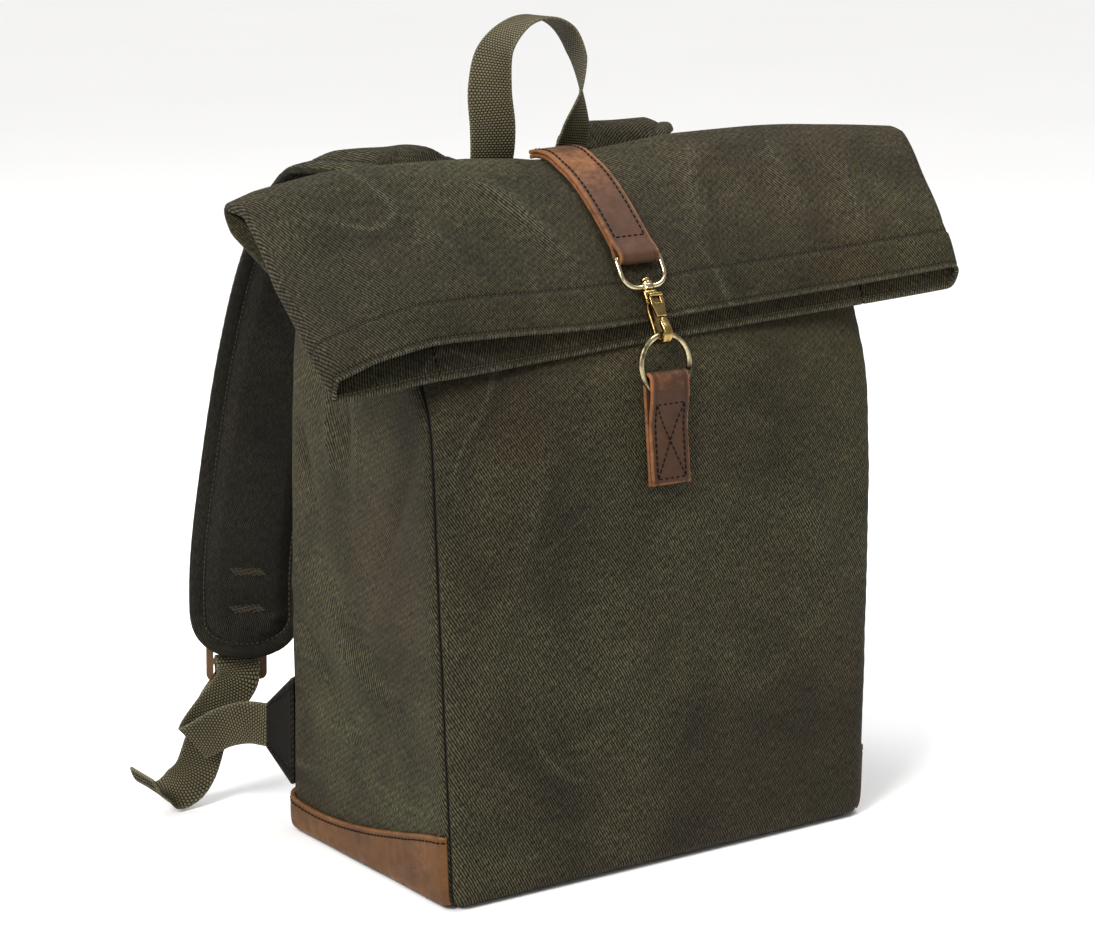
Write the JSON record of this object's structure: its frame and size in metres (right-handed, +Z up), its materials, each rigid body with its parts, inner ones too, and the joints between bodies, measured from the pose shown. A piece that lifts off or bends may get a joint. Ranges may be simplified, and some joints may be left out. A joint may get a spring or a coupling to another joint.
{
  "type": "waxed canvas backpack",
  "caption": "Roll-top canvas backpack standing on its base, its top folded forward and fastened by a leather strap with a snap hook on a ring; webbing handle, padded straps.",
  "frame": {"origin": "middle of the base on the floor", "axes": "+Z up, the front faces -Y, +X to the right as seen from the front"},
  "size_m": [0.4286, 0.2666, 0.4679],
  "materials": {
    "canvas": "waxed",
    "leather": "oiled",
    "brass": "worn",
    "copper": "satin",
    "webbing": "woven"
  },
  "bodies": {
    "bag": {"front_panel": "canvas", "back_and_sides": "canvas", "base_panel": "canvas", "left_corner_leather": "leather", "right_corner_leather": "leather", "closing_strap": "leather", "swivel_loop": "brass", "ring": "brass", "ring_tab": "leather", "grab_handle": "webbing", "left_shoulder_pad": "canvas", "right_shoulder_pad": "canvas", "left_buckle_loop": "webbing", "right_buckle_loop": "webbing", "left_slide_buckle": "copper", "right_slide_buckle": "copper", "left_strap_webbing": "webbing", "right_strap_webbing": "webbing", "left_wing_tab": "canvas", "right_wing_tab": "canvas"},
    "hook": {"snap_hook": "brass"},
    "gate": {"hook_gate": "brass"}
  },
  "joints": [
    {"name": "hook_swivel", "type": "hinge", "parent": "bag", "child": "hook", "pos_m": [-0.004, -0.06993, 0.32733], "axis": [0, -0.5299, -0.848], "range_deg": [-8, 8]},
    {"name": "gate_hinge", "type": "hinge", "parent": "hook", "child": "gate", "pos_m": [-0.004, -0.075, 0.32035], "axis": [1, 0, 0], "range_deg": [0, 18], "stiffness_Nm_per_rad": 0.02, "springref_deg": -17.19}
  ]
}
